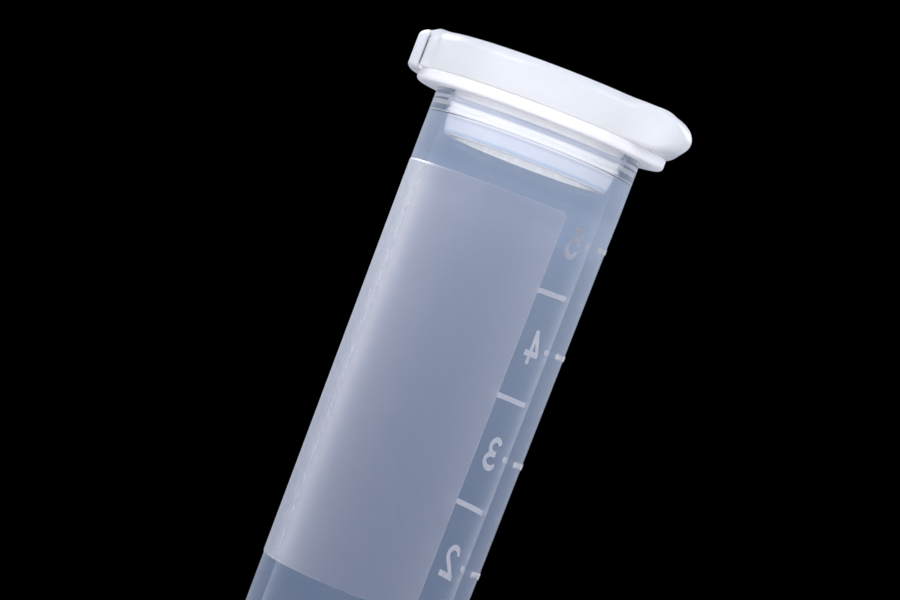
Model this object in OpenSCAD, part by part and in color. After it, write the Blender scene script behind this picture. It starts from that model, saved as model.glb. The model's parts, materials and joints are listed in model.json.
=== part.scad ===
// Snap-cap centrifuge tube, 5 mL, closed.
// Z runs along the tube, lid up. Z = 0 is the underside of the collar.
// +X points at the thumb tab, -X at the hinge strap. Units are millimetres.

/* [Tube] */
// Outer radius of the neck, a true cylinder just below the collar
neck_r = 7.5; // [7.2:0.05:7.8]
// Length of the neck cylinder
neck_len = 4.6; // [4:0.1:4.8]
// Outer radius where the drafted wall starts, below the neck
wall_top_r = 7.46; // [7.3:0.01:7.5]
// Outward draft of the outside wall, mm of radius per mm of height
wall_draft = 0.0073; // [0.004:0.0001:0.01]
// Bore radius just below the sealing land
bore_top_r = 6.4; // [6.39:0.01:6.42]
// Draft of the bore, mm of radius per mm of height
bore_draft = 0.0056; // [0.003:0.0001:0.008]
// Wall thickness around the conical end
wall = 1.0; // [0.8:0.05:1.2]
// Distance from the collar underside down to the very tip
tip_depth = 57.2; // [54:0.1:62]
// Outer radius of the rounded tip
tip_r = 3; // [2.4:0.1:3.6]
// Half angle of the conical end, degrees
cone_angle = 17; // [15:0.5:22]

/* [Collar and mouth] */
// Outer radius of the collar and of the lid disc
rim_r = 9.1; // [8.8:0.05:9.2]
// Thickness of the collar
collar_t = 0.78; // [0.76:0.01:0.84]
// Radius of the collar's lower outer edge
collar_edge = 0.26; // [0.1:0.01:0.35]
// Radius of the mouth at the very top of the bore
mouth_r = 6.78; // [6.76:0.01:6.82]
// Radius of the sealing land at its lower end
land_r = 6.45; // [6.44:0.01:6.48]
// Outer radius of the sealing land's ring
land_back_r = 6.95; // [6.9:0.01:7.1]
// Height of the conical seat that the collar sits on, inside the neck's radius
seat_h = 0.3; // [0.2:0.05:0.4]
// Depth of the sealing land's lower edge below the collar underside
land_depth = 1.6; // [1.5:0.05:1.8]

/* [Lid] */
// Thickness of the lid disc
lid_t = 2.83; // [2.75:0.01:2.95]
// Radius of the lid disc's top edge
lid_edge = 0.45; // [0.2:0.05:0.6]
// Radius of the lid disc's lower edge
lid_low_edge = 0.12; // [0.05:0.01:0.2]
// Radius of the shallow writing recess in the lid's top
recess_r = 7.3; // [6.5:0.1:7.8]
// Depth of that recess
recess_depth = 0.12; // [0.05:0.01:0.2]
// Thickness left over the plug's hollow core
roof_t = 1.1; // [0.9:0.1:1.4]
// Half width of the thumb tab
tab_half = 7; // [6:0.1:7.5]
// Distance from the tube's axis to the tab's tip
tab_tip = 10.1; // [9.9:0.05:10.6]
// Corner radius of the tab in plan
tab_corner = 3; // [2:0.1:3.5]

/* [Plug] */
// Radius of the plug between the lid and the seal bead
plug_r = 6.26; // [6.15:0.01:6.28]
// Radius of the plug's lower end
nose_r = 6; // [5.7:0.01:6.1]
// Radius of the hollow core
core_r = 5.05; // [4.8:0.05:5.1]
// Length of the plug below the lid disc
plug_len = 3.7; // [3.4:0.05:3.8]
// Radius over the seal bead
bead_r = 6.38; // [6.34:0.01:6.38]
// Depth of the bead's middle below the lid disc
bead_depth = 2.2; // [2.1:0.01:2.2]
// Height of the bead
bead_h = 0.44; // [0.3:0.01:0.5]

/* [Hinge strap] */
// Distance from the tube's axis to the strap's outer face
strap_out = 10; // [10:0.05:10.1]
// Thickness of the strap
strap_t = 0.75; // [0.7:0.01:0.76]
// Half width of the strap
strap_half = 3.45; // [3:0.05:3.6]
// Plan radius of the strap's outer face
strap_bow = 7.1; // [7:0.1:9]
// Height of the lower fold above the collar underside
low_fold_z = 0.925; // [0.92:0.005:0.94]
// Height of the upper fold above the collar underside
high_fold_z = 2.9; // [2.8:0.01:2.95]
// Running gap around each fold
fold_gap = 0.03; // [0.02:0.005:0.04]
// Half height of the web that carries each fold
web_half = 0.16; // [0.1:0.01:0.2]

/* [Graduations] */
// Height of the raised marks and numerals
mark_h = 0.06; // [0.04:0.01:0.08]
// Thickness of a graduation line
tick_t = 0.38; // [0.3:0.01:0.5]
// Depth of the 5 mL line below the collar underside
top_mark = 6.6; // [6.5:0.05:7]
// Bearing of the full lines, first end, degrees from +X towards +Y
tick_from = -8; // [-12:1:0]
// Bearing of the full lines, second end
tick_to = 13; // [11:1:18]
// Bearing of the half lines, first end
half_from = 12; // [10:1:16]
// Bearing of the half lines, second end
half_to = 54; // [50:1:58]
// Bearing of the numerals' middle
digit_at = 33; // [31:0.5:36]
// Height of a numeral
digit_h = 2.5; // [2.3:0.05:2.8]
// Width of a numeral
digit_w = 2.2; // [2:0.05:2.4]
// Stroke of a numeral
stroke = 0.42; // [0.3:0.01:0.45]

/* [Writing panel] */
// Height of the frosted panel above the wall
panel_h = 0.05; // [0.03:0.01:0.08]
// Depth of the panel's top edge
panel_top = 5.25; // [5:0.05:5.4]
// Depth of the panel's bottom edge
panel_bottom = 34.2; // [30:0.1:36]
// Bearing of the panel's end nearest the graduations
panel_from = -58.7; // [-60:0.1:-45]
// Angle that the panel wraps round, back past the hinge side
panel_sweep = 138; // [120:1:150]
// Corner radius of the panel
panel_corner = 0.45; // [0.2:0.05:1]

/* [Hidden] */
$fn = 64;

eps = 0.5;                                  // overrun of cutting bodies
wall_top_z = -5;                            // where the drafted wall starts
rim_z = collar_t;                           // plane where the lid meets the collar
lid_top_z = rim_z + lid_t;
tip_z = tip_depth - tip_r;                  // depth of the tip sphere's centre
cone_start_z = -41;                         // about where the cone starts, to read the drafted radii
drop = 4;                                   // half the usual spacing of the full lines
reach = 2;                                  // how far a stood-up shape starts inside the neck's radius
web_in = 0.3;                               // how much narrower a web is than the strap, on each side
nose_edge = 0.25;                           // chamfer of the plug's lower edge
nose_lip = [0.08, 0.5];                     // the nose's upper taper: radius taken off, height
marks_to = 1;                               // lowest numbered line, in mL
marks_from = 5;                             // highest numbered line, in mL
ml = 1000;                                  // cubic mm in a millilitre

// Radii of the drafted wall and of the bore at height z
function outer_r(z) = wall_top_r + wall_draft * (z - wall_top_z);
function bore_r(z) = bore_top_r + bore_draft * (z + land_depth);

// Height of the line for v millilitres: each line is one millilitre of bore below the last
function mark_z(v) = v >= marks_from ? -top_mark
    : mark_z(v + 1) - ml / (PI * pow(bore_r(mark_z(v + 1) - drop), 2));

// Cone from a sphere of radius r about the tip's centre: where it leaves the sphere,
// and the height at which it has grown to radius big
function cone_foot(r) = [r * cos(cone_angle), -tip_z - r * sin(cone_angle)];
function cone_top(r, big) = cone_foot(r)[1] + (big - cone_foot(r)[0]) / tan(cone_angle);

inner_tip_r = tip_r - wall;
cone_out_z = cone_top(tip_r, outer_r(cone_start_z));
cone_in_z = cone_top(inner_tip_r, bore_r(cone_start_z));

plug_bottom = rim_z - plug_len;
bead_z = rim_z - bead_depth;
core_top = lid_top_z - roof_t;
fold_r = strap_t / 2;
fold_x = -(strap_out - fold_r);
nick_centre = 0.93 * panel_corner;           // in from both edges of the panel

// What a round edge of radius r takes off a square corner; the edge's centre is the origin
module edge_off(r) {
    difference() {
        square(r + eps);
        circle(r = r);
    }
}

// Thin skin on the drafted wall between two heights, h thick
module skin(z0, z1, h, a0, sweep) {
    rotate([0, 0, a0])
        rotate_extrude(angle = sweep, $fn = 128)
            polygon([[outer_r(z0), z0], [outer_r(z0) + h, z0],
                     [outer_r(z1) + h, z1], [outer_r(z1), z1]]);
}

// Flat shape stood up on the wall at a bearing, facing outwards, with its middle at height z
module stand(bearing, z) {
    rotate([0, 0, bearing])
        translate([neck_r - reach, 0, z])
            rotate([90, 0, 90])
                linear_extrude(height = 2 * reach) children();
}

// Band along an elliptical arc with half axes rx and ry, from angle a0 to a1, one stroke wide
module arc_band(rx, ry, a0, a1) {
    steps = 20;
    edge = stroke / 2;
    turn = [for (i = [0 : steps]) a0 + (a1 - a0) * i / steps];
    polygon(concat([for (a = turn) [(rx + edge) * cos(a), (ry + edge) * sin(a)]],
                   [for (i = [steps : -1 : 0]) [(rx - edge) * cos(turn[i]), (ry - edge) * sin(turn[i])]]));
}

// Straight stroke between two points
module bar(p, q) {
    d = q - p;
    translate(p) rotate(atan2(d[1], d[0])) translate([0, -stroke / 2]) square([norm(d), stroke]);
}

// Numerals, centred, digit_w wide and digit_h high. in_w and in_h are where the strokes' middles run.
half_w = digit_w / 2;
half_h = digit_h / 2;
in_w = half_w - stroke / 2;
in_h = half_h - stroke / 2;

module digit_1() {
    bar([0.1, -half_h], [0.1, half_h]);
    bar([0.1, in_h], [-0.6 * in_w, in_h - 0.5]);
}
module digit_2() {
    bowl = 0.57 * in_h;
    last = -35;
    translate([0, in_h - bowl]) arc_band(0.9 * in_w, bowl, last, 170);
    bar([0.9 * in_w * cos(last), in_h - bowl + bowl * sin(last)], [-0.85 * in_w, -in_h]);
    translate([-half_w, -half_h]) square([digit_w, stroke]);
}
module digit_3() {
    bowl = in_h / 2;
    translate([0, bowl]) arc_band(0.84 * in_w, bowl, -95, 155);
    translate([0, -bowl]) arc_band(in_w, bowl, -160, 95);
    bar([-0.45 * in_w, 0], [0, 0]);
}
module digit_4() {
    stem = 0.37 * in_w;
    low = -0.47 * in_h;
    bar([stem, -half_h], [stem, half_h]);
    bar([-half_w, low], [half_w, low]);
    bar([stem, in_h], [-in_w, low]);
}
module digit_5() {
    bowl = 0.67 * in_h;
    low = bowl - in_h;
    translate([0, low]) arc_band(in_w, bowl, -165, 145);
    bar([in_w * cos(145), low + bowl * sin(145) - 0.2], [-0.78 * in_w, half_h]);
    translate([-0.78 * in_w - stroke / 2, half_h - stroke]) square([1.78 * in_w, stroke]);
}

module numeral(v) {
    z = mark_z(v);
    color([0.78, 0.78, 0.82])
        intersection() {
            skin(z - digit_h, z + digit_h, mark_h, digit_at - 15, 30);
            stand(digit_at, z) {
                if (v == 1) digit_1();
                if (v == 2) digit_2();
                if (v == 3) digit_3();
                if (v == 4) digit_4();
                if (v == 5) digit_5();
            }
        }
}

// Wall of the tube: seat, neck cylinder, drafted wall, cone and rounded tip, one revolved profile
module tube_body() {
    color([0.62, 0.68, 0.78, 0.5])
        rotate_extrude($fn = 128)
            difference() {
                tube_outside();
                tube_inside();
                translate([-2 * rim_r, -2 * tip_depth]) square([2 * rim_r, 3 * tip_depth]);
            }
}
module tube_outside() {
    polygon([[0, -tip_z], cone_foot(tip_r), [outer_r(cone_out_z), cone_out_z],
             [outer_r(wall_top_z), wall_top_z], [neck_r, -neck_len], [neck_r, 0],
             [neck_r - seat_h, seat_h], [0, seat_h]]);
    translate([0, -tip_z]) circle(r = tip_r);
}
module tube_inside() {
    polygon([[0, -tip_z], cone_foot(inner_tip_r), [bore_r(cone_in_z), cone_in_z],
             [bore_r(-land_depth), -land_depth], [land_back_r, -land_depth],
             [land_back_r, eps], [0, eps]]);
    translate([0, -tip_z]) circle(r = inner_tip_r);
}

// Flange round the mouth that the lid closes on and that hangs in a rack. Its flat underside
// starts at the neck's own radius, and a cone inside that sits on the top of the wall.
module collar() {
    color([0.82, 0.82, 0.86])
        rotate_extrude($fn = 128)
            difference() {
                polygon([[land_back_r, collar_t], [land_back_r, seat_h], [neck_r - seat_h, seat_h],
                         [neck_r, 0], [rim_r, 0], [rim_r, collar_t]]);
                translate([rim_r - collar_edge, collar_edge])
                    mirror([0, 1]) edge_off(collar_edge);
            }
}

// Polished, tapered land that the plug's bead seals against
module sealing_land() {
    color([0.75, 0.8, 0.88])
        rotate_extrude($fn = 128)
            polygon([[land_back_r, -land_depth], [land_back_r, rim_z], [mouth_r, rim_z],
                     [land_r, bead_z], [land_r, -land_depth]]);
}

// Corner piece that is taken off the panel to round one of its corners. The arc crosses the panel's
// edges at a small angle, because an arc that only touches an edge leaves no clean end to it.
module panel_nick(bearing, z, turn) {
    stand(bearing, z)
        rotate(turn)
            difference() {
                translate([-eps, -eps]) square(nick_centre + eps);
                translate([nick_centre, nick_centre]) circle(r = panel_corner);
            }
}

// Frosted panel for writing on
module writing_panel() {
    far_end = panel_from - panel_sweep;
    color([0.8, 0.8, 0.84])
        difference() {
            skin(-panel_bottom, -panel_top, panel_h, far_end, panel_sweep);
            panel_nick(far_end, -panel_bottom, 0);
            panel_nick(panel_from, -panel_bottom, 90);
            panel_nick(panel_from, -panel_top, 180);
            panel_nick(far_end, -panel_top, 270);
        }
}

// Raised lines at each whole millilitre
module millilitre_lines() {
    color([0.86, 0.86, 0.88])
        for (v = [marks_to : marks_from])
            skin(mark_z(v) - tick_t / 2, mark_z(v) + tick_t / 2, mark_h, tick_from, tick_to - tick_from);
}

// Shorter raised lines halfway between them
module half_lines() {
    color([0.78, 0.78, 0.82])
        for (v = [marks_to : marks_from - 1]) {
            z = (mark_z(v) + mark_z(v + 1)) / 2;
            skin(z - tick_t / 2, z + tick_t / 2, mark_h, half_from, half_to - half_from);
        }
}

module numeral_5() { numeral(5); }
module numeral_4() { numeral(4); }
module numeral_3() { numeral(3); }
module numeral_2() { numeral(2); }
module numeral_1() { numeral(1); }

// Plan outline shared by the strap and its webs: the bowed outer face, cut to the strap's width
module strap_plan() {
    intersection() {
        translate([-strap_out + strap_bow, 0]) circle(r = strap_bow, $fn = 128);
        translate([-strap_out - eps, -strap_half]) square([3, 2 * strap_half]);
    }
}

// Web beside a fold: it reaches from the round rim to just short of the fold
module fold_web(z) {
    difference() {
        translate([0, 0, z - web_half])
            linear_extrude(height = 2 * web_half)
                difference() {
                    translate([fold_x, -strap_half + web_in]) square([2, 2 * (strap_half - web_in)]);
                    circle(r = rim_r, $fn = 128);
                }
        translate([fold_x, 0, z])
            rotate([90, 0, 0])
                cylinder(r = fold_r + fold_gap, h = 3 * strap_half, center = true);
    }
}

module collar_web() {
    color([0.84, 0.84, 0.88]) fold_web(collar_t - web_half);
}

// Strap between the two folds. Its ends are round about the fold lines, so it turns in place.
module hinge_strap() {
    color([0.86, 0.88, 0.93])
        intersection() {
            union() {
                for (z = [low_fold_z, high_fold_z])
                    translate([fold_x, 0, z])
                        rotate([90, 0, 0])
                            cylinder(r = fold_r, h = 2 * strap_half, center = true);
                translate([-strap_out, -strap_half, low_fold_z])
                    cube([strap_t, 2 * strap_half, high_fold_z - low_fold_z]);
            }
            translate([0, 0, -eps]) linear_extrude(height = 6) strap_plan();
        }
}

module lid_web() {
    color([0.86, 0.88, 0.93]) fold_web(high_fold_z);
}

// Round lid: a thick disc with a shallow writing recess on top and a hollow core below
module lid_disc() {
    color([0.9, 0.92, 0.97])
        rotate_extrude($fn = 128)
            difference() {
                translate([0, rim_z]) square([rim_r, lid_t]);
                translate([rim_r - lid_edge, lid_top_z - lid_edge]) edge_off(lid_edge);
                translate([rim_r - lid_low_edge, rim_z + lid_low_edge])
                    mirror([0, 1]) edge_off(lid_low_edge);
                translate([-eps, rim_z - eps]) square([core_r + eps, core_top - rim_z + eps]);
                translate([-eps, lid_top_z - recess_depth]) square([recess_r + eps, eps]);
            }
}

// Thumb tab: a slab with a full round edge, trimmed to the disc it grows from
module thumb_tab() {
    edge = lid_t / 2;
    mid_z = rim_z + edge;
    corner = tab_corner - edge;
    flat_x = tab_tip - tab_corner;
    flat_y = tab_half - tab_corner;
    color([0.9, 0.92, 0.97])
        difference() {
            translate([0, 0, mid_z])
                union() {
                    linear_extrude(height = lid_t, center = true)
                        union() {
                            translate([0, -tab_half + edge])
                                square([flat_x, 2 * (tab_half - edge)]);
                            translate([0, -flat_y])
                                square([tab_tip - edge, 2 * flat_y]);
                            for (s = [-1, 1])
                                translate([flat_x, s * flat_y]) circle(r = corner);
                        }
                    for (s = [-1, 1]) {
                        translate([0, s * (tab_half - edge), 0])
                            rotate([0, 90, 0])
                                cylinder(r = edge, h = flat_x);
                        translate([flat_x, s * flat_y, 0])
                            rotate([0, 0, s > 0 ? 0 : -90])
                                rotate_extrude(angle = 90)
                                    translate([corner, 0]) circle(r = edge);
                    }
                    translate([tab_tip - edge, 0, 0])
                        rotate([90, 0, 0])
                            cylinder(r = edge, h = 2 * flat_y, center = true);
                }
            cylinder(r = rim_r, h = 20, center = true, $fn = 128);
        }
}

// Hollow plug that fills the mouth, down to the bead
module sealing_plug() {
    color([0.88, 0.91, 0.97])
        translate([0, 0, bead_z - bead_h / 2])
            difference() {
                cylinder(r = plug_r, h = rim_z - bead_z + bead_h / 2, $fn = 128);
                translate([0, 0, -eps]) cylinder(r = core_r, h = 2 * plug_len, $fn = 128);
            }
}

// Raised ring that does the sealing
module seal_bead() {
    color([0.93, 0.95, 0.99])
        rotate_extrude($fn = 128)
            polygon([[plug_r, bead_z - bead_h / 2], [bead_r, bead_z - bead_h / 6],
                     [bead_r, bead_z + bead_h / 6], [plug_r, bead_z + bead_h / 2]]);
}

// Tapered lower end that guides the plug into the mouth
module plug_nose() {
    top = bead_z - bead_h / 2;
    color([0.88, 0.91, 0.97])
        rotate_extrude($fn = 128)
            polygon([[core_r, plug_bottom], [nose_r - nose_edge, plug_bottom],
                     [nose_r, plug_bottom + nose_edge], [plug_r - nose_lip[0], top - nose_lip[1]],
                     [plug_r, top], [core_r, top]]);
}

tube_body();
collar();
sealing_land();
writing_panel();
millilitre_lines();
half_lines();
numeral_5();
numeral_4();
numeral_3();
numeral_2();
numeral_1();
collar_web();
hinge_strap();
lid_web();
lid_disc();
thumb_tab();
sealing_plug();
seal_bead();
plug_nose();
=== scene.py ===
"""Looks for a closed 5 mL snap-cap centrifuge tube: clear wall, frosted panel and marks, milky lid."""
import json
import math

import bpy
from mathutils import Matrix, Vector

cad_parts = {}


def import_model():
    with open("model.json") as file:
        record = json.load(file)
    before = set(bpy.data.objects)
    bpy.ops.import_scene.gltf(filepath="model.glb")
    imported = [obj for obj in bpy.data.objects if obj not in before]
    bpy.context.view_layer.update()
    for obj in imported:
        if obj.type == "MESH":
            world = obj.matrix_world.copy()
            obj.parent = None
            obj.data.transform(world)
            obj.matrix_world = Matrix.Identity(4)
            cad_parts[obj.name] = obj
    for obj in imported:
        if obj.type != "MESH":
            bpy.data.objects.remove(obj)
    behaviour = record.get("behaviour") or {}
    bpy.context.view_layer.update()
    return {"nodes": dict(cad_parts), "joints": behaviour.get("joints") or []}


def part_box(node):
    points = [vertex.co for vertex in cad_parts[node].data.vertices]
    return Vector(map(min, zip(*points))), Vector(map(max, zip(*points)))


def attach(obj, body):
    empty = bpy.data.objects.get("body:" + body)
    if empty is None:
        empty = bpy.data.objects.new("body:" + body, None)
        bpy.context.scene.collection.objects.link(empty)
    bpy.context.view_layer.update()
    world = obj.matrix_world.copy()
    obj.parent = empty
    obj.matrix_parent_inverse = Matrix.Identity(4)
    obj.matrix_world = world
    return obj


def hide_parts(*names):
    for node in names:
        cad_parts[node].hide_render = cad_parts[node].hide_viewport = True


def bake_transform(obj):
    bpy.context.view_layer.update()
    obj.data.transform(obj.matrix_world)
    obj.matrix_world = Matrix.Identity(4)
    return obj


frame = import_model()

MM = 0.001

# ---------------------------------------------------------------- sizes, in metres
tube_low, tube_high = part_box("tube_body")
strap_low, strap_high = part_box("hinge_strap")
bead_low, bead_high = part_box("seal_bead")
panel_low, panel_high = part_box("writing_panel")
collar_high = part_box("collar")[1]
disc_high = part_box("lid_disc")[1]
tab_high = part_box("thumb_tab")[1]
plug_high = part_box("sealing_plug")[1]
nose_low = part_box("plug_nose")[0]
land_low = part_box("sealing_land")[0]

NECK_R = tube_high.y
RIM_R = collar_high.y
RIM_Z = collar_high.z
LID_TOP = disc_high.z
AIR = 0.01 * MM                     # air left between the wall and what is raised on it
WALL_TOP_R, WALL_TOP_Z = 7.46 * MM, -5 * MM
NECK_LEN = 4.6 * MM
WALL_DRAFT, BORE_DRAFT = 0.0073, 0.0056
BORE_TOP_R, MOUTH_R, LAND_R = 6.4 * MM, 6.78 * MM, 6.45 * MM
TIP_R, WALL = 3 * MM, 1 * MM
TIP_Z = tube_low.z + TIP_R          # centre of the rounded tip
CONE = math.radians(17)             # between the cone's side and the axis
CONE_NEAR = -41 * MM                # near the cone's top, where the drafts are read
CONE_BEND = 2.5 * MM
STEP_Z, STEP_BEND = -7.5 * MM, 3 * MM        # where the wall has eased in below the neck
CORE_R, ROOF = 5.05 * MM, 1.1 * MM  # the plug's hollow, and the lid's thickness over it
PLUG_NOSE_R = 6 * MM
RECESS_R, RECESS = 7.3 * MM, 0.12 * MM
GATE_R, GATE = 0.5 * MM, 0.05 * MM  # the moulding's gate mark in the middle of the recess
LOW_FOLD = Vector(frame["joints"][0]["pos_m"])
HIGH_FOLD = Vector(frame["joints"][1]["pos_m"])
AROUND = 192                        # sides of a turned piece

# Heights in mm, top down, of the hazier rings round the bore at the plug
BORE_BANDS = [(-0.40, -0.62), (-0.78, -1.10), (-1.50, -1.57)]


def outer_r(z):
    return WALL_TOP_R + WALL_DRAFT * (z - WALL_TOP_Z) - AIR


def bore_r(z):
    return BORE_TOP_R + BORE_DRAFT * (z - land_low.z)


# ---------------------------------------------------------------- mesh making
def piece(name, verts, faces, mats, body=None, face_mats=None, sharp=40):
    """A mesh object with smooth faces, sharp only at edges over the given angle."""
    mesh = bpy.data.meshes.new(name)
    mesh.from_pydata([tuple(v) for v in verts], [], faces)
    mesh.validate()
    for m in mats if isinstance(mats, (list, tuple)) else [mats]:
        mesh.materials.append(m)
    if face_mats:
        for poly, index in zip(mesh.polygons, face_mats):
            poly.material_index = index
    mesh.polygons.foreach_set("use_smooth", [True] * len(mesh.polygons))
    mesh.set_sharp_from_angle(angle=math.radians(sharp))
    mesh.update()
    ob = bpy.data.objects.new(name, mesh)
    bpy.context.scene.collection.objects.link(ob)
    if body:
        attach(ob, body)
    return ob


def rounded(points, steps=6):
    """Points (r, z, radius) of an open outline, with each corner of radius > 0 replaced by an arc."""
    out = []
    for i, (x, z, radius) in enumerate(points):
        if radius <= 0 or i in (0, len(points) - 1):
            out.append((x, z))
            continue
        here = Vector((x, z))
        back = (Vector(points[i - 1][:2]) - here).normalized()
        on = (Vector(points[i + 1][:2]) - here).normalized()
        half = back.angle(on) / 2
        reach = radius / math.tan(half)
        centre = here + (back + on).normalized() * (radius / math.sin(half))
        a, b = here + back * reach - centre, here + on * reach - centre
        turn = a.angle_signed(b)
        for k in range(steps + 1):
            v = a.copy()
            v.rotate(Matrix.Rotation(-turn * k / steps, 2))
            out.append(tuple(centre + v))
    return out


def held(profile, gap=0.04 * MM):
    """The profile with a point near each end of every long stretch, so that its shading stays straight."""
    out = [profile[0]]
    for a, b in zip(profile, profile[1:]):
        a, b = Vector(a), Vector(b)
        length = (b - a).length
        if length > 4 * gap:
            out += [tuple(a.lerp(b, gap / length)), tuple(b.lerp(a, gap / length))]
        out.append(tuple(b))
    return out


def lathe(profile, segments):
    """Vertices and rings of a profile [(r, z), ...] turned about Z. A point on the axis becomes a pole."""
    verts, rings = [], []
    for r, z in profile:
        if r < 1e-9:
            rings.append([len(verts)])
            verts.append((0, 0, z))
            continue
        rings.append([len(verts) + k for k in range(segments)])
        for k in range(segments):
            a = math.tau * k / segments
            verts.append((r * math.cos(a), r * math.sin(a), z))
    return verts, rings


def join_rings(rings, closed=False):
    """Faces between neighbouring rings, and which pair of rings each face lies between."""
    faces, owner = [], []
    count = len(rings)
    for i in range(count if closed else count - 1):
        a, b = rings[i], rings[(i + 1) % count]
        n = max(len(a), len(b))
        if n == 1:
            continue
        for k in range(n):
            m = (k + 1) % n
            if len(a) == 1:
                faces.append((a[0], b[m], b[k]))
            elif len(b) == 1:
                faces.append((a[k], a[m], b[0]))
            else:
                faces.append((a[k], a[m], b[m], b[k]))
            owner.append(i)
    return faces, owner


def smooth_step(x):
    x = max(0.0, min(1.0, x))
    return x * x * (3 - 2 * x)


# ---------------------------------------------------------------- materials
def material(name, base, **sockets):
    """A Principled material with constant sockets; returns it with its node tree and shader."""
    mat = bpy.data.materials.new(name)
    mat.use_nodes = True
    nt = mat.node_tree
    shader = nt.nodes["Principled BSDF"]
    shader.inputs["Base Color"].default_value = (*base, 1)
    for socket, value in sockets.items():
        shader.inputs[socket.replace("_", " ")].default_value = value
    return mat, nt, shader


def texture(nt, scale, detail=2.0, roughness=0.5, stretch=(1, 1, 1)):
    """Noise in the object's own coordinates, scale in waves per millimetre."""
    place = nt.nodes.new("ShaderNodeTexCoord")
    size = nt.nodes.new("ShaderNodeMapping")
    size.inputs["Scale"].default_value = stretch
    noise = nt.nodes.new("ShaderNodeTexNoise")
    noise.inputs["Scale"].default_value = scale / MM
    noise.inputs["Detail"].default_value = detail
    noise.inputs["Roughness"].default_value = roughness
    nt.links.new(place.outputs["Object"], size.inputs["Vector"])
    nt.links.new(size.outputs["Vector"], noise.inputs["Vector"])
    return noise.outputs["Fac"]


def spread(nt, fac, low, high, start=0.3, stop=0.7):
    """Maps a noise value to a range, for a socket that takes a number."""
    node = nt.nodes.new("ShaderNodeMapRange")
    node.inputs["From Min"].default_value = start
    node.inputs["From Max"].default_value = stop
    node.inputs["To Min"].default_value = low
    node.inputs["To Max"].default_value = high
    nt.links.new(fac, node.inputs["Value"])
    return node.outputs["Result"]


def tint(nt, fac, dark, light, start=0.3, stop=0.7):
    """Maps a noise value to a colour between two."""
    ramp = nt.nodes.new("ShaderNodeValToRGB")
    ramp.color_ramp.elements[0].position = start
    ramp.color_ramp.elements[1].position = stop
    ramp.color_ramp.elements[0].color = (*dark, 1)
    ramp.color_ramp.elements[1].color = (*light, 1)
    nt.links.new(fac, ramp.inputs["Fac"])
    return ramp.outputs["Color"]


def bumps(nt, shader, *layers):
    """Stacks bump layers (height, depth in mm, strength) onto the shader's normal."""
    last = None
    for height, depth, strength in layers:
        node = nt.nodes.new("ShaderNodeBump")
        node.inputs["Distance"].default_value = depth * MM
        node.inputs["Strength"].default_value = strength
        nt.links.new(height, node.inputs["Height"])
        if last:
            nt.links.new(last, node.inputs["Normal"])
        last = node.outputs["Normal"]
    nt.links.new(last, shader.inputs["Normal"])


def blended(nt, kind, one, two):
    """One arithmetic node on two sockets or numbers."""
    node = nt.nodes.new("ShaderNodeMath")
    node.operation = kind
    for socket, value in zip(node.inputs, (one, two)):
        if isinstance(value, (int, float)):
            socket.default_value = value
        else:
            nt.links.new(value, socket)
    return node.outputs["Value"]


def edge_on(nt, power):
    """0 where the surface faces the eye, rising to 1 where it is seen edge on."""
    node = nt.nodes.new("ShaderNodeLayerWeight")
    node.inputs["Blend"].default_value = 0.5
    return blended(nt, "POWER", node.outputs["Facing"], power)


def ramp_of(nt, fac, stops):
    """Colour ramp through (position, colour) stops, in rising order."""
    node = nt.nodes.new("ShaderNodeValToRGB")
    elements = node.color_ramp.elements
    elements.remove(elements[1])
    elements[0].position = stops[0][0]
    elements[0].color = (*stops[0][1], 1)
    for position, colour in stops[1:]:
        elements.new(position).color = (*colour, 1)
    nt.links.new(fac, node.inputs["Fac"])
    return node.outputs["Color"]


def height_bands(nt, stops):
    """Colours at heights (z in mm, rising), along the piece's own Z."""
    low, high = stops[0][0], stops[-1][0]
    place = nt.nodes.new("ShaderNodeTexCoord")
    split = nt.nodes.new("ShaderNodeSeparateXYZ")
    nt.links.new(place.outputs["Object"], split.inputs["Vector"])
    share = spread(nt, split.outputs["Z"], 0, 1, low * MM, high * MM)
    return ramp_of(nt, share, [((z - low) / (high - low), colour) for z, colour in stops])


def haze(nt, shader, plain, limb, power, *extras):
    """Makes a share of the surface scatter light instead of passing it: more where it is seen edge on."""
    share = blended(nt, "ADD", blended(nt, "MULTIPLY", edge_on(nt, power), limb), plain)
    for extra in extras:
        share = blended(nt, "ADD", share, extra)
    passed = blended(nt, "SUBTRACT", 1.0, blended(nt, "MINIMUM", share, 0.95))
    nt.links.new(passed, shader.inputs["Transmission Weight"])


def clear_plastic(name, plain, limb, power):
    """Clear, faintly hazy wall: it shows what is behind it, with a little scattered light."""
    mat, nt, shader = material(name, (0.95, 0.96, 0.985), IOR=1.49)
    shader.inputs["Specular IOR Level"].default_value = 0.4
    cloud = texture(nt, 0.35, 3, 0.6, (1, 1, 0.4))
    nt.links.new(tint(nt, cloud, (0.93, 0.945, 0.975), (0.965, 0.97, 0.985)), shader.inputs["Base Color"])
    nt.links.new(spread(nt, cloud, 0.008, 0.03), shader.inputs["Roughness"])
    haze(nt, shader, plain, limb, power)
    bumps(nt, shader, (texture(nt, 0.8, 2, 0.5, (1, 1, 0.15)), 0.001, 0.25))
    return mat


def specks(nt, scale, size):
    """Bright points scattered at random, one in some of the cells of a cell pattern."""
    place = nt.nodes.new("ShaderNodeTexCoord")
    cells = nt.nodes.new("ShaderNodeTexVoronoi")
    cells.inputs["Scale"].default_value = scale / MM
    nt.links.new(place.outputs["Object"], cells.inputs["Vector"])
    split = nt.nodes.new("ShaderNodeSeparateColor")
    nt.links.new(cells.outputs["Color"], split.inputs["Color"])
    near = spread(nt, cells.outputs["Distance"], 1, 0, 0, size)
    chosen = spread(nt, split.outputs["Red"], 0, 1, 0.6, 0.95)
    return blended(nt, "MULTIPLY", near, chosen)


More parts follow.
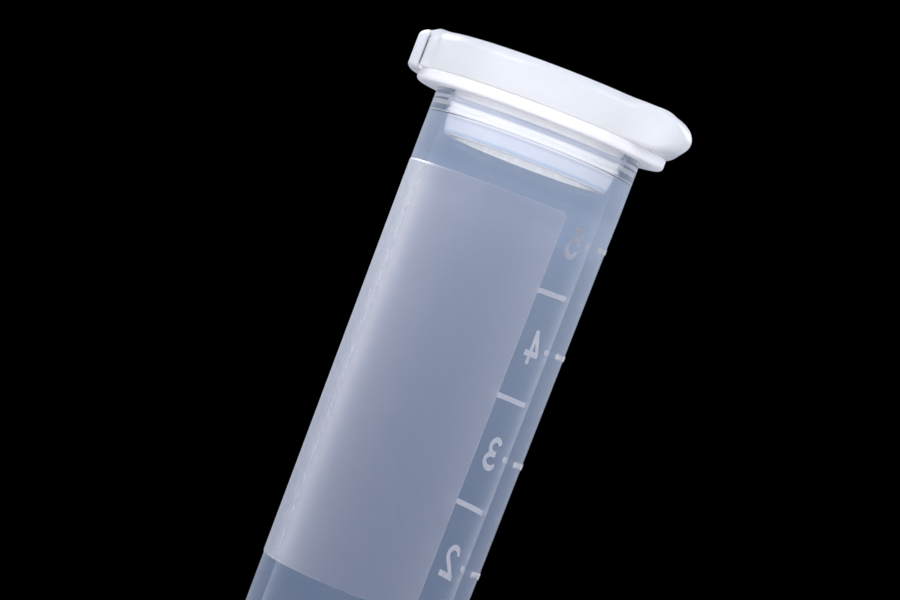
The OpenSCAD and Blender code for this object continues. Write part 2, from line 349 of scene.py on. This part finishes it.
def frosted_plastic():
    """Fine-grained frosting of the writing panel, with a little more haze near its top edge: painted light,
    which brightens the panel's top next to the bright plug.
    """
    mat, nt, shader = material("frosted_polypropylene", (0.95, 0.94, 0.95), IOR=1.15)
    shader.inputs["Specular IOR Level"].default_value = 0.04
    grain = texture(nt, 11, 2, 0.7)
    colour = tint(nt, grain, (0.93, 0.90, 0.925), (0.98, 0.955, 0.965), 0.35, 0.68)
    nt.links.new(colour, shader.inputs["Base Color"])
    nt.links.new(spread(nt, grain, 0.38, 0.46), shader.inputs["Roughness"])
    place = nt.nodes.new("ShaderNodeTexCoord")
    split = nt.nodes.new("ShaderNodeSeparateXYZ")
    nt.links.new(place.outputs["Object"], split.inputs["Vector"])
    # painted light: a larger scattering share towards the panel's top edge, which makes it brighter there
    top = spread(nt, split.outputs["Z"], 0, 0.012, panel_high.z - 6 * MM, panel_high.z)
    speckle = blended(nt, "MULTIPLY", specks(nt, 5.5, 0.45), 0.06)
    haze(nt, shader, 0.0, 0.11, 1.1, top, spread(nt, grain, -0.012, 0.014), speckle)
    bumps(nt, shader, (grain, 0.002, 0.2))
    return mat


def raised_marks():
    """Frosted face of the lines and numerals."""
    mat, nt, shader = material("raised_marks", (0.93, 0.89, 0.91), IOR=1.49)
    shader.inputs["Specular IOR Level"].default_value = 0.3
    grain = texture(nt, 9, 2, 0.6)
    nt.links.new(tint(nt, grain, (0.88, 0.85, 0.88), (0.96, 0.93, 0.94)), shader.inputs["Base Color"])
    nt.links.new(spread(nt, grain, 0.35, 0.5), shader.inputs["Roughness"])
    haze(nt, shader, 0.2, 0.05, 1.5, spread(nt, grain, -0.03, 0.03))
    bumps(nt, shader, (grain, 0.01, 0.4))
    return mat


def clouded(dark, light):
    """Colour that drifts slowly between two."""
    return lambda nt: tint(nt, texture(nt, 0.22, 2, 0.5), dark, light)


def banded(stops):
    """Colour that changes with height: here, painted bands of light and shade."""
    return lambda nt: height_bands(nt, stops)


def milky_plastic(name, base, colour, clearness, inside, grain_scale, rough, depth, strength):
    """Thick polypropylene that scatters light inside and lets some of it through.

    colour makes the nodes of its base colour. inside is how far light scatters, depth and strength
    are those of the grain, and rough is its lowest and highest roughness."""
    mat, nt, shader = material(name, base, IOR=1.49, Transmission_Weight=clearness, Subsurface_Weight=0.7,
                               Subsurface_Scale=inside, Coat_Weight=0.12, Coat_Roughness=0.12)
    shader.inputs["Subsurface Radius"].default_value = (0.95, 0.97, 1.0)
    shader.inputs["Specular IOR Level"].default_value = 0.4
    grain = texture(nt, grain_scale, 2, 0.6)
    nt.links.new(colour(nt), shader.inputs["Base Color"])
    nt.links.new(spread(nt, grain, *rough), shader.inputs["Roughness"])
    bumps(nt, shader, (grain, depth, strength), (texture(nt, 0.4, 2), 0.004, 0.1))
    return mat


# Colours at heights in mm, up the plug from its nose and up the lid's side. Both are painted light and shade:
# on the plug, the darker rings are painted shade and the lightest, as at the nose's rim, painted highlights.
PLUG_LIGHT_AND_SHADE = [
    (-2.95, (0.95, 0.96, 0.98)), (-2.9, (0.95, 0.96, 0.98)), (-2.84, (0.5, 0.57, 0.70)),
    (-2.68, (0.5, 0.57, 0.70)), (-2.58, (0.66, 0.69, 0.77)), (-1.95, (0.68, 0.71, 0.79)),
    (-1.74, (0.55, 0.58, 0.67)), (-1.66, (0.86, 0.86, 0.89)), (-1.56, (0.62, 0.63, 0.7)),
    (-1.46, (0.93, 0.93, 0.95)), (-0.92, (0.93, 0.93, 0.95)), (-0.80, (0.58, 0.62, 0.72)),
    (-0.48, (0.6, 0.64, 0.74)), (-0.42, (0.95, 0.94, 0.96)), (0.78, (0.95, 0.96, 0.98))]
# The lid's side is painted lighter towards its underside and darker towards its top: painted light and shade.
LID_LIGHT_AND_SHADE = [
    (0.78, (0.98, 0.98, 0.99)), (0.92, (0.98, 0.98, 0.99)), (1.1, (0.92, 0.945, 0.985)),
    (2.3, (0.92, 0.94, 0.98)), (2.9, (0.88, 0.9, 0.955)), (3.61, (0.86, 0.88, 0.94))]

clear = clear_plastic("clear_polypropylene", 0.004, 0.5, 5)
ring_haze = clear_plastic("hazy_polypropylene", 0.02, 2.4, 1.6)
frosted = frosted_plastic()
mark_milk = raised_marks()
lid_milk = milky_plastic("milky_lid", (0.95, 0.96, 0.98), banded(LID_LIGHT_AND_SHADE), 0.35,
                         1.1 * MM, 1.6, (0.3, 0.4), 0.0015, 0.06)
plug_milk = milky_plastic("milky_plug", (0.92, 0.94, 0.97), banded(PLUG_LIGHT_AND_SHADE), 0.06,
                          0.5 * MM, 1.5, (0.15, 0.25), 0.001, 0.05)
core_milk = milky_plastic("milky_core", (0.97, 0.97, 0.98), clouded((0.93, 0.94, 0.97), (0.97, 0.97, 0.98)),
                          0.05, 0.5 * MM, 1.5, (0.2, 0.3), 0.001, 0.05)
collar_milk = milky_plastic("milky_collar", (0.9, 0.89, 0.92), clouded((0.82, 0.82, 0.86), (0.9, 0.89, 0.92)),
                            0.06, 0.6 * MM, 5, (0.35, 0.5), 0.004, 0.3)


# ---------------------------------------------------------------- tube
def cone_foot(r):
    """Where the cone leaves a rounded tip of radius r."""
    return r * math.cos(CONE), TIP_Z - r * math.sin(CONE)


def cone_top(r, big):
    """Height at which the cone that leaves a tip of radius r is big in radius."""
    x, z = cone_foot(r)
    return z + (big - x) / math.tan(CONE)


def tip_arc(r, steps=14):
    quarter = math.pi / 2 - CONE
    return [(r * math.sin(quarter * k / steps), TIP_Z - r * math.cos(quarter * k / steps))
            for k in range(steps + 1)]


def tube_wall():
    """Wall of the tube from rim to tip, inside and out, with the sealing land in its mouth."""
    cone_out = cone_top(TIP_R, outer_r(CONE_NEAR))
    cone_in = cone_top(TIP_R - WALL, bore_r(CONE_NEAR))
    outside = tip_arc(TIP_R - AIR) + rounded([
        (*cone_foot(TIP_R - AIR), 0), (outer_r(cone_out), cone_out, CONE_BEND),
        (outer_r(STEP_Z), STEP_Z, STEP_BEND), (NECK_R - AIR, -NECK_LEN, STEP_BEND),
        (NECK_R - AIR, RIM_Z, 0)])[1:]
    bead_z = (bead_low.z + bead_high.z) / 2

    def land(z):
        share = max(0.0, (z - bead_z) / (RIM_Z - bead_z))
        return LAND_R + (MOUTH_R - LAND_R) * share

    stops = [z * MM for band in BORE_BANDS for z in band]
    bore = [(MOUTH_R + 0.12 * MM, RIM_Z), (MOUTH_R + 0.03 * MM, RIM_Z - 0.03 * MM),
            (land(RIM_Z - 0.12 * MM), RIM_Z - 0.12 * MM)]
    bore += [(land(z), z) for z in stops]
    bore += rounded([(LAND_R, land_low.z + 0.04 * MM, 0), (bore_r(land_low.z), land_low.z - 0.02 * MM, 0),
                     (bore_r(cone_in), cone_in, CONE_BEND), (*cone_foot(TIP_R - WALL), 0)])
    inside = tip_arc(TIP_R - WALL)[::-1]
    outside = held(outside)
    profile = outside + held(bore) + inside[1:]
    verts, rings = lathe(profile, AROUND)
    faces, owner = join_rings(rings)
    middles = [(profile[i][1] + profile[i + 1][1]) / 2 / MM for i in range(len(profile) - 1)]
    face_mats = [1 if i >= len(outside) and any(b < middles[i] < a for a, b in BORE_BANDS) else 0
                 for i in owner]
    ob = piece("tube_wall", verts, faces, [clear, ring_haze], "tube", face_mats)
    ob.visible_shadow = False       # light reaches the plug and the marks through the wall
    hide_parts("tube_body", "sealing_land")


def collar_ring():
    """Flange round the mouth, well rounded below."""
    profile = rounded([(NECK_R, 0, 0), (RIM_R, 0, 0.26 * MM), (RIM_R, RIM_Z, 0.05 * MM), (NECK_R, RIM_Z, 0)])
    verts, rings = lathe(held(profile), AROUND)
    faces, _ = join_rings(rings, closed=True)
    ob = piece("collar_ring", verts, faces, collar_milk, "tube")
    ob.visible_shadow = False
    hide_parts("collar")


PANEL_START, PANEL_SWEEP = math.radians(-58.7), math.radians(138)
PANEL_THICK, PANEL_CORNER, PANEL_EDGE = 0.05 * MM, 0.45 * MM, 0.08 * MM


def panel():
    """Thin frosted shell round the near side of the wall, with rounded corners and a soft edge."""
    corner = PANEL_CORNER
    top, low = panel_high.z, panel_low.z
    cols, rows = 180, 60
    width = PANEL_SWEEP * WALL_TOP_R

    def spot(u, v, lift):
        """Point at distance u along the wrap and v down, pulled in so that corners are round."""
        z = top - v
        du = min(u, width - u)
        dv = min(v, (top - low) - v)
        if du < corner and dv < corner:
            gap = Vector((corner - du, corner - dv))
            if gap.length > 1e-12:
                square = max(gap.x, gap.y) / gap.length
                du, dv = corner - gap.x * square, corner - gap.y * square
                u = du if u < width / 2 else width - du
                z = top - dv if v < (top - low) / 2 else low + dv
        angle = PANEL_START - PANEL_SWEEP * u / width
        r = outer_r(z) + AIR + lift
        return r * math.cos(angle), r * math.sin(angle), z

    def steps(length, count, edge):
        """Distances from 0 to length, finer within edge of both ends."""
        inner = [edge + (length - 2 * edge) * k / count for k in range(count + 1)]
        fine = [edge * k / 6 for k in range(6)]
        return fine + inner + [length - x for x in reversed(fine)]

    us, vs = steps(width, cols, corner), steps(top - low, rows, corner)
    verts, faces = [], []
    for lift in (PANEL_THICK, 0.0):
        for v in vs:
            for u in us:
                edge = min(u, width - u, v, (top - low) - v)
                soft = lift * (0.55 + 0.45 * smooth_step(edge / PANEL_EDGE))
                verts.append(spot(u, v, soft))
    n, m = len(us), len(vs)
    for j in range(m - 1):
        for i in range(n - 1):
            a = j * n + i
            faces.append((a, a + n, a + n + 1, a + 1))
            b = a + n * m
            faces.append((b, b + 1, b + n + 1, b + n))
    ring = list(range(n)) + [j * n + n - 1 for j in range(1, m)]
    ring += [(m - 1) * n + i for i in range(n - 2, -1, -1)] + [j * n for j in range(m - 2, 0, -1)]
    for a, b in zip(ring, ring[1:] + ring[:1]):
        faces.append((a, b, b + n * m, a + n * m))
    ob = piece("writing_panel_frost", verts, faces, frosted, "tube", sharp=60)
    ob.visible_shadow = False
    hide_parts("writing_panel")


# ---------------------------------------------------------------- lid
TAB_CORNER = 3 * MM
DISC_EDGE, SIDE_EDGE, LOW_EDGE = 0.75 * MM, 0.3 * MM, 0.14 * MM
NOSE = 2.2 * MM                     # how far back the tab's rounded tip reaches
BLOCK_X, BLOCK_HALF = 9.1 * MM, 3.45 * MM    # the lid's flat face behind the strap
BLOCK_CORNER = 0.25 * MM
BLOCK_FILLET, TAB_FILLET = 0.5 * MM, 0.8 * MM
TAB_EASE = 0.35 * MM                # distance from the disc in which an edge becomes the tab's
TIP_START, TIP_SHORT = 7.2 * MM, 0.2 * MM
BACK_EDGE, BACK_START, BACK_EASE = 0.35 * MM, 8.3 * MM, 0.7 * MM    # deeper top edge near the strap
UNDER_R = 7.2 * MM                  # a ring on the flat underside, which keeps its faces even


def disc_gap(x, y):
    """Signed distance in plan to the disc."""
    return math.hypot(x, y) - RIM_R


def slab_gap(x, y, length, half_width, corner):
    """Signed distance in plan to a slab from the axis out to length, with rounded corners."""
    qx = abs(x - length / 2) - length / 2 + corner
    qy = abs(y) - half_width + corner
    return math.hypot(max(qx, 0), max(qy, 0)) + min(max(qx, qy), 0) - corner


def flow(a, b, size):
    """Smaller of two distances, with the inside corner between the shapes filled over a size."""
    h = max(size - abs(a - b), 0) / size
    return min(a, b) - h * h * size / 4


def plan_gap(x, y):
    """Signed distance in plan to the lid's outline: disc and tab, or disc and hinge block."""
    disc = disc_gap(x, y)
    if x > 0:
        return flow(disc, slab_gap(x, y, tab_high.x, tab_high.y, TAB_CORNER), TAB_FILLET)
    return flow(disc, slab_gap(-x, y, BLOCK_X, BLOCK_HALF, BLOCK_CORNER), BLOCK_FILLET)


def plan_point(angle):
    """The lid's outline at an angle: its place, outward normal, and share of tab side and of tab tip."""
    low, high = 5 * MM, 14 * MM     # safely inside and outside the outline
    for _ in range(40):
        mid = (low + high) / 2
        if plan_gap(mid * math.cos(angle), mid * math.sin(angle)) < 0:
            low = mid
        else:
            high = mid
    x, y = low * math.cos(angle), low * math.sin(angle)
    step = 0.02 * MM
    normal = Vector((plan_gap(x + step, y) - plan_gap(x - step, y),
                     plan_gap(x, y + step) - plan_gap(x, y - step))).normalized()
    side = smooth_step(disc_gap(x, y) / TAB_EASE) if x > 0 else 0.0
    tip = smooth_step((x - TIP_START) / (tab_high.x - TIP_START - TIP_SHORT))
    return Vector((x, y)), normal, side, tip


def lid():
    """Disc, tab and hinge block as one skin: recess, rounded edge, underside and the roof over the plug."""
    segments = 400
    outline = [plan_point(math.tau * k / segments) for k in range(segments)]
    half_t = (LID_TOP - RIM_Z) / 2
    verts, rings = [], []

    def edge_ring(turn, plain, top):
        """One ring along the rounded edge: turn goes from 0, on the flat face, to 1, on the side."""
        rings.append([len(verts) + k for k in range(segments)])
        a = math.pi / 2 * turn
        for spot, normal, side, tip in outline:
            edge = plain + (SIDE_EDGE - plain) * side
            across, down = edge + (NOSE - edge) * tip, edge + (half_t - edge) * tip
            p = spot - normal * across * (1 - math.sin(a))
            if top:
                down += BACK_EDGE * smooth_step((-spot.x - BACK_START) / BACK_EASE)
            drop = down * (1 - math.cos(a))
            verts.append((p.x, p.y, LID_TOP - drop if top else RIM_Z + drop))

    def circle(r, z):
        rings.append([len(verts) + k for k in range(segments)])
        for k in range(segments):
            a = math.tau * k / segments
            verts.append((r * math.cos(a), r * math.sin(a), z))

    verts.append((0, 0, LID_TOP - RECESS + GATE))
    rings.append([0])
    circle(GATE_R, LID_TOP - RECESS + GATE)
    circle(GATE_R + 0.12 * MM, LID_TOP - RECESS)
    circle(4 * MM, LID_TOP - RECESS)
    circle(RECESS_R - 0.12 * MM, LID_TOP - RECESS)
    circle(RECESS_R - 0.03 * MM, LID_TOP - RECESS * 0.7)
    circle(RECESS_R + 0.03 * MM, LID_TOP - RECESS * 0.3)
    circle(RECESS_R + 0.12 * MM, LID_TOP)
    arc = 12
    for k in range(arc + 1):
        edge_ring(k / arc, DISC_EDGE, True)
    for k in range(arc, -1, -1):
        edge_ring(k / arc, LOW_EDGE, False)
    circle(UNDER_R, RIM_Z)
    circle(CORE_R, RIM_Z)
    circle(CORE_R - 0.1 * MM, LID_TOP - ROOF - 0.4 * MM)
    circle(CORE_R - 0.5 * MM, LID_TOP - ROOF)
    rings.append([len(verts)])
    verts.append((0, 0, LID_TOP - ROOF))
    faces, _ = join_rings(rings)
    faces = [tuple(reversed(f)) for f in faces]
    ob = piece("snap_lid", verts, faces, lid_milk, "lid", sharp=50)
    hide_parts("lid_disc", "thumb_tab", "lid_web")


def plug():
    """Hollow plug with its bead and tapered nose, in one turned profile."""
    plug_r, bead_r = plug_high.y, bead_high.y
    mid = (bead_low.z + bead_high.z) / 2
    nose_r = PLUG_NOSE_R
    groove = 0.09 * MM
    top = RIM_Z - 0.002 * MM        # just clear of the lid's underside
    outside = rounded([
        (CORE_R, top, 0), (plug_r, top, 0), (plug_r, -0.30 * MM, 0.1 * MM),
        (plug_r - groove, -0.40 * MM, 0.08 * MM), (plug_r - groove, -0.48 * MM, 0.08 * MM),
        (plug_r, -0.58 * MM, 0.1 * MM), (plug_r, mid + 0.32 * MM, 0.08 * MM),
        (plug_r - 0.07 * MM, mid + 0.24 * MM, 0.05 * MM), (bead_r, mid, 0.1 * MM),
        (plug_r - 0.1 * MM, mid - 0.22 * MM, 0.08 * MM), (plug_r - 0.14 * MM, mid - 0.7 * MM, 0.3 * MM),
        (nose_r + 0.02 * MM, nose_low.z + 0.15 * MM, 0.12 * MM), (nose_r - 0.1 * MM, nose_low.z, 0.08 * MM),
        (CORE_R + 0.1 * MM, nose_low.z, 0.08 * MM), (CORE_R, nose_low.z + 0.3 * MM, 0)])
    profile = held(outside)
    verts, rings = lathe(profile, AROUND)
    faces, owner = join_rings(rings, closed=True)
    faces = [tuple(reversed(f)) for f in faces]
    inner = [max(profile[i][0], profile[(i + 1) % len(profile)][0]) < nose_r - 0.3 * MM for i in owner]
    ob = piece("hollow_plug", verts, faces, [plug_milk, core_milk], "lid",
               [int(i) for i in inner])
    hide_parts("sealing_plug", "seal_bead", "plug_nose")


# ---------------------------------------------------------------- strap
STRAP_BOW = 7.1 * MM                # radius of the bow in plan
STRAP_HALF, FILM_HALF = 3.3 * MM, 3.2 * MM
STRAP_SOFT = 0.3 * MM               # how far from its ends the strap narrows


def strap_x(y):
    """X of the strap's bowed outer face at a distance y from the middle."""
    return strap_low.x + STRAP_BOW - math.sqrt(STRAP_BOW ** 2 - y * y)


def strap_plate():
    """The plate between the folds, bowed outwards in plan, with round ends about the folds."""
    half_t = (strap_high.x - strap_low.x) / 2
    fold_r = LOW_FOLD.z - strap_low.z
    cols, arc = 24, 12
    outline = []
    for k in range(arc + 1):
        a = math.pi + math.pi * k / arc
        outline.append((math.cos(a), LOW_FOLD.z + fold_r * math.sin(a)))
    for k in range(arc + 1):
        a = math.pi * k / arc
        outline.append((math.cos(a), HIGH_FOLD.z + fold_r * math.sin(a)))
    verts, faces = [], []
    count = len(outline)
    columns = [0.0] + [0.5 - 0.5 * math.cos(math.pi * (k + 0.5) / cols) for k in range(cols)] + [1.0]
    inner = LOW_FOLD.x + half_t
    for c in columns:
        y = -STRAP_HALF + 2 * STRAP_HALF * c
        end = min(c, 1 - c) * 2 * STRAP_HALF
        shrink = 1 - 0.45 * (1 - min(1.0, end / STRAP_SOFT)) ** 2
        outer = strap_x(y)
        mid, half = (outer + inner) / 2, (inner - outer) / 2
        for ux, z in outline:
            zc = LOW_FOLD.z if z < LOW_FOLD.z else HIGH_FOLD.z if z > HIGH_FOLD.z else z
            verts.append((mid + ux * half * shrink, y, zc + (z - zc) * shrink))
    for j in range(len(columns) - 1):
        for i in range(count):
            a, b = j * count + i, j * count + (i + 1) % count
            faces.append((a, b, b + count, a + count))
    faces.append(tuple(range(count))[::-1])
    last = (len(columns) - 1) * count
    faces.append(tuple(last + i for i in range(count)))
    ob = piece("strap_plate", verts, faces, lid_milk, "strap")
    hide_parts("hinge_strap")


def film(name, outline, replaced):
    """A web of plastic that bends at a fold: a closed outline (share, inner end, z) swept across the strap.

    share runs from 0 at the strap's outer face to 1 at the inner end."""
    cols, plain = 25, 0.93          # plain: the share of its width over which it keeps its thickness
    middle = sum(z for _, _, z in outline) / len(outline)
    verts, faces = [], []
    for k in range(cols):
        y = -FILM_HALF + 2 * FILM_HALF * k / (cols - 1)
        taper = 1 - 0.25 * max(0.0, abs(y) / FILM_HALF - plain) / (1 - plain)
        for share, inner_x, z in outline:
            x = strap_x(y) * (1 - share) + inner_x * share
            verts.append((x, y, middle + (z - middle) * taper))
    n = len(outline)
    for k in range(cols - 1):
        for i in range(n):
            a, b = k * n + i, k * n + (i + 1) % n
            faces.append((a, b, b + n, a + n))
    faces.append(tuple(range(n))[::-1])
    faces.append(tuple((cols - 1) * n + i for i in range(n)))
    ob = piece(name, verts, faces, lid_milk, sharp=50)
    ob.visible_shadow = False
    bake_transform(ob)
    if replaced:
        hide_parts(replaced)


def films():
    """The lower film, which stands for its CAD web, and the upper one, whose web is part of the lid."""
    low = rounded([(0.18, LOW_FOLD.z - 0.1 * MM, 0), (0.45, RIM_Z - 0.26 * MM, 0),
                   (1, RIM_Z - 0.28 * MM, 0), (1, RIM_Z - 0.04 * MM, 0), (0.5, LOW_FOLD.z + 0.05 * MM, 0)])
    film("low_film", [(share, -RIM_R + 0.2 * MM, z) for share, z in low],
         "collar_web")
    top = LID_TOP - 0.03 * MM
    corner = strap_high.z - 0.12 * MM
    slope = [(0.06, corner - 0.16 * MM), (0.09, corner), (0.2, corner + 0.08 * MM)]
    slope += [(0.2 + 0.8 * t, corner + 0.08 * MM + (top - corner - 0.08 * MM) * t)
              for t in (0.2, 0.4, 0.6, 0.8, 1.0)]
    under = [(1, HIGH_FOLD.z + 0.3 * MM), (0.7, HIGH_FOLD.z + 0.2 * MM), (0.45, HIGH_FOLD.z),
             (0.25, HIGH_FOLD.z - 0.1 * MM)]
    film("high_film", [(share, -RIM_R + 0.45 * MM, z) for share, z in slope + under],
         None)


# ---------------------------------------------------------------- raised marks, as packed
MARKS = ["millilitre_lines", "half_lines"] + [f"numeral_{n}" for n in range(5, 0, -1)]


def marks():
    for name in MARKS:
        ob = frame["nodes"][name]
        ob.data.materials.clear()
        ob.data.materials.append(mark_milk)


# ---------------------------------------------------------------- stage, light and camera
def stage():
    """A round, pale floor under the tip, with a rounded edge."""
    radius, edge, thick = 85 * MM, 1.5 * MM, 5 * MM
    z = tube_low.z
    profile = [(0, z), (radius - edge, z)]
    profile += [(radius - edge * (1 - math.sin(a)), z - edge * (1 - math.cos(a)))
                for a in [math.pi / 2 * k / 8 for k in range(9)]]
    profile += [(radius, z - thick), (0, z - thick)]
    verts, rings = lathe(profile, 128)
    faces, _ = join_rings(rings)
    mesh = bpy.data.meshes.new("floor")
    mesh.from_pydata(verts, [], faces)
    mesh.polygons.foreach_set("use_smooth", [True] * len(mesh.polygons))
    mesh.set_sharp_from_angle(angle=math.radians(40))
    mat, _, _ = material("pale_floor", (0.5, 0.51, 0.53), Roughness=0.6)
    mesh.materials.append(mat)
    ob = bpy.data.objects.new("floor", mesh)
    bpy.context.scene.collection.objects.link(ob)


LAMP_DISTANCE = 260 * MM
LAMP_WHITE = (1.0, 0.98, 0.965)
LAMP_TARGET = Vector((0, 0, -10 * MM))


def softbox(name, azimuth, elevation, size, radiance):
    """A rectangular lamp of the given radiance, turned towards the tube. Azimuth 0 is the camera's side."""
    a, e = math.radians(azimuth), math.radians(elevation)
    away = Vector((math.sin(a) * math.cos(e), -math.cos(a) * math.cos(e), math.sin(e)))
    lamp = bpy.data.lights.new(name, "AREA")
    lamp.shape = "RECTANGLE"
    lamp.size, lamp.size_y = size
    lamp.energy = radiance * math.pi * size[0] * size[1]
    lamp.color = LAMP_WHITE
    ob = bpy.data.objects.new(name, lamp)
    ob.location = LAMP_TARGET + away * LAMP_DISTANCE
    ob.rotation_euler = (-away).to_track_quat("-Z", "Y").to_euler()
    ob.visible_transmission = False     # rays that have passed through a surface don't meet the lamp
    bpy.context.scene.collection.objects.link(ob)
    return ob


def lights():
    """Four softboxes round the tube, a weak one overhead, and two low fills that make no highlights."""
    for azimuth, radiance in ((-50, 6.2), (50, 4.8), (130, 3.0), (230, 4.0)):
        softbox(f"softbox_{azimuth}", azimuth, 25, (150 * MM, 110 * MM), radiance)
    softbox("overhead", 0, 88, (120 * MM, 120 * MM), 0.8)
    for azimuth in (-40, 40):
        fill = softbox(f"fill_{azimuth}", azimuth, -20, (130 * MM, 70 * MM), 8.5)
        fill.visible_glossy = False


# Colours from straight down (0) through the horizon (0.5) to straight up (1)
SKY = [(0.20, (0.25, 0.28, 0.34)), (0.44, (0.13, 0.17, 0.265)), (0.474, (0.15, 0.195, 0.295)),
       (0.504, (0.2, 0.255, 0.365)), (0.525, (0.295, 0.36, 0.5)), (0.60, (0.33, 0.39, 0.52)),
       (1.0, (0.7, 0.72, 0.78))]


def world():
    """Black to the camera. To everything else slate blue, darkest just under the horizon, paler overhead."""
    made = bpy.data.worlds.new("studio")
    bpy.context.scene.world = made
    made.use_nodes = True
    nt = made.node_tree
    shader = nt.nodes["Background"]
    out = nt.nodes["World Output"]
    place = nt.nodes.new("ShaderNodeTexCoord")
    split = nt.nodes.new("ShaderNodeSeparateXYZ")
    nt.links.new(place.outputs["Generated"], split.inputs["Vector"])
    sky = ramp_of(nt, spread(nt, split.outputs["Z"], 0, 1, -1, 1), SKY)
    nt.links.new(sky, shader.inputs["Color"])
    dark = nt.nodes.new("ShaderNodeBackground")
    dark.inputs["Color"].default_value = (0, 0, 0, 1)
    path = nt.nodes.new("ShaderNodeLightPath")
    mix = nt.nodes.new("ShaderNodeMixShader")
    nt.links.new(path.outputs["Is Camera Ray"], mix.inputs["Fac"])
    nt.links.new(shader.outputs["Background"], mix.inputs[1])
    nt.links.new(dark.outputs["Background"], mix.inputs[2])
    nt.links.new(mix.outputs["Shader"], out.inputs["Surface"])


CAMERA_AT = Vector((-1.42 * MM, -211 * MM, -13.47 * MM))
LEAN = math.radians(20.93)
SENSOR, FOCAL_LENGTH = 36, 121.96   # in mm


def camera():
    """Square on to the tube's axis, rolled so that the tube leans to the right."""
    lens = bpy.data.cameras.new("camera")
    lens.sensor_width = SENSOR
    lens.lens = FOCAL_LENGTH
    lens.clip_start, lens.clip_end = 0.01, 5
    ob = bpy.data.objects.new("camera", lens)
    right = Vector((math.cos(LEAN), 0, math.sin(LEAN)))
    up = Vector((-math.sin(LEAN), 0, math.cos(LEAN)))
    back = Vector((0, -1, 0))
    turn = Matrix((right, up, back)).transposed().to_4x4()
    turn.translation = CAMERA_AT
    ob.matrix_world = turn
    bpy.context.scene.collection.objects.link(ob)
    bpy.context.scene.camera = ob


camera()
world()
lights()
stage()
tube_wall()
collar_ring()
panel()
marks()
lid()
plug()
strap_plate()
films()

bpy.context.scene.view_settings.view_transform = "Standard"
